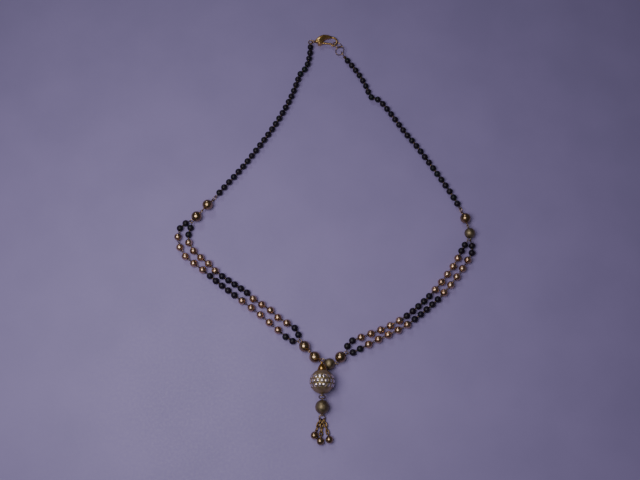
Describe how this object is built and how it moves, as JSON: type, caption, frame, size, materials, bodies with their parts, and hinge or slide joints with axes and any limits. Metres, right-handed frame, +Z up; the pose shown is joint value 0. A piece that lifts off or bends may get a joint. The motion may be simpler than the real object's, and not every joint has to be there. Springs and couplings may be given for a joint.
{
  "type": "mangalsutra necklace",
  "caption": "Necklace of black and gold beads with a lobster clasp, a stone-set ball pendant and a short tassel, lying flat.",
  "frame": {"origin": "middle of the necklace's outline, on the surface that it lies on", "axes": "+Z up from the surface, +Y from the tassel to the clasp, +X to the right as seen from above"},
  "size_m": [0.1423, 0.2086, 0.0111],
  "materials": {
    "gold": "polished gold plating",
    "black_bead": "glossy black glass",
    "clear_stone": "cut and polished clear stone"
  },
  "bodies": {
    "necklace": {"clasp_body": "gold", "end_ring": "gold", "hook_ring": "gold", "extension_ring": "gold", "strand_ring": "gold", "left_upper_beads": "black_bead", "left_upper_wire": "gold", "right_upper_beads": "black_bead", "right_upper_wire": "gold", "left_shoulder_ring": "gold", "left_shoulder_ball_1": "gold", "left_shoulder_ball_2": "gold", "right_shoulder_ring": "gold", "right_shoulder_ball_1": "gold", "right_shoulder_ball_2": "gold", "left_inner_black_beads": "black_bead", "left_inner_gold_beads": "gold", "left_inner_wire": "gold", "left_outer_black_beads": "black_bead", "left_outer_gold_beads": "gold", "left_outer_wire": "gold", "right_inner_black_beads": "black_bead", "right_inner_gold_beads": "gold", "right_inner_wire": "gold", "right_outer_black_beads": "black_bead", "right_outer_gold_beads": "gold", "right_outer_wire": "gold", "centre_ball_1": "gold", "centre_ball_2": "gold", "centre_ball_3": "gold", "centre_ball_4": "gold", "centre_ring": "gold", "pendant_cap": "gold", "pendant_ball": "gold", "stones_upper": "clear_stone", "stones_middle": "clear_stone", "stones_lower": "clear_stone", "pendant_ring": "gold", "drop_ball": "gold", "tassel_ring": "gold", "tassel_chain_left": "gold", "tassel_chain_middle": "gold", "tassel_chain_right": "gold", "tassel_ball_left": "gold", "tassel_ball_middle": "gold", "tassel_ball_right": "gold"},
    "lever": {"clasp_lever": "gold"}
  },
  "joints": [
    {"name": "clasp_lever_hinge", "type": "hinge", "parent": "necklace", "child": "lever", "pos_m": [-0.0023, 0.1002, 0.0014], "axis": [0, 0, 1], "range_deg": [0, 25], "stiffness_Nm_per_rad": 0.0002, "springref_deg": -11.46}
  ]
}
